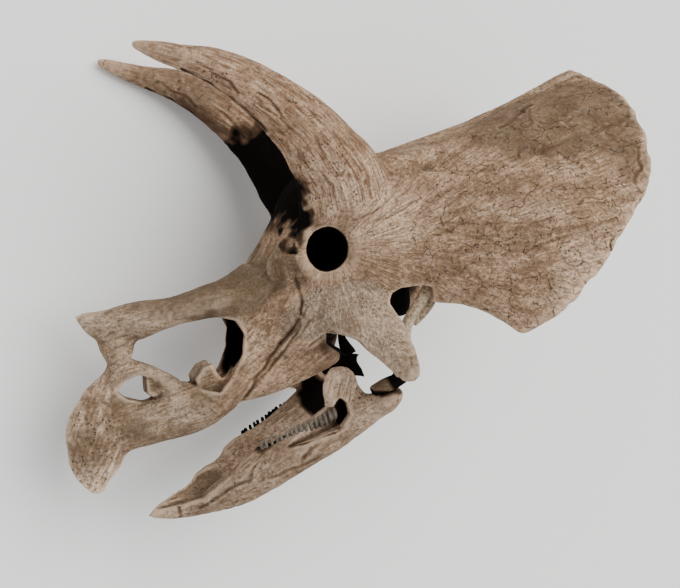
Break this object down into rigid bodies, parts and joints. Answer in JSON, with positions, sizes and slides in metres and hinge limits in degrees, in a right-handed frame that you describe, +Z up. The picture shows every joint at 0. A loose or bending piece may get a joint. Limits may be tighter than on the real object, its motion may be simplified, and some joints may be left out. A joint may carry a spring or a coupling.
{
  "type": "triceratops skull fossil",
  "caption": "Life-size horned dinosaur skull with open lower jaw, a still museum piece lying on its right side on small flats.",
  "frame": {"origin": "floor level, at the middle of the plan outline of the skull as it lies", "axes": "+X from the beak towards the frill, +Y from the jaw towards the brow horns, +Z up, out of the skull's left cheek"},
  "size_m": [1.7229, 1.4098, 1.061],
  "materials": {
    "old_bone": "dry fossil bone, brown, cracked and grained",
    "pale_bone": "dry fossil bone, cream"
  },
  "bodies": {
    "root": {"braincase": "old_bone", "brow_horn_left": "old_bone", "brow_horn_right": "old_bone", "coronoid_left": "old_bone", "coronoid_right": "old_bone", "dentary_left": "old_bone", "dentary_right": "old_bone", "frontal": "old_bone", "jugal_left": "old_bone", "jugal_right": "old_bone", "maxilla_left": "old_bone", "maxilla_right": "old_bone", "nasal": "old_bone", "nasal_horn": "old_bone", "parietal": "old_bone", "predentary": "old_bone", "premaxilla_left": "old_bone", "premaxilla_right": "old_bone", "postorbital_left": "old_bone", "postorbital_right": "old_bone", "lacrimal_left": "old_bone", "lacrimal_right": "old_bone", "quadrate_left": "pale_bone", "quadrate_right": "pale_bone", "rostral": "old_bone", "squamosal_left": "old_bone", "squamosal_right": "old_bone", "surangular_left": "old_bone", "surangular_right": "old_bone"}
  },
  "joints": []
}
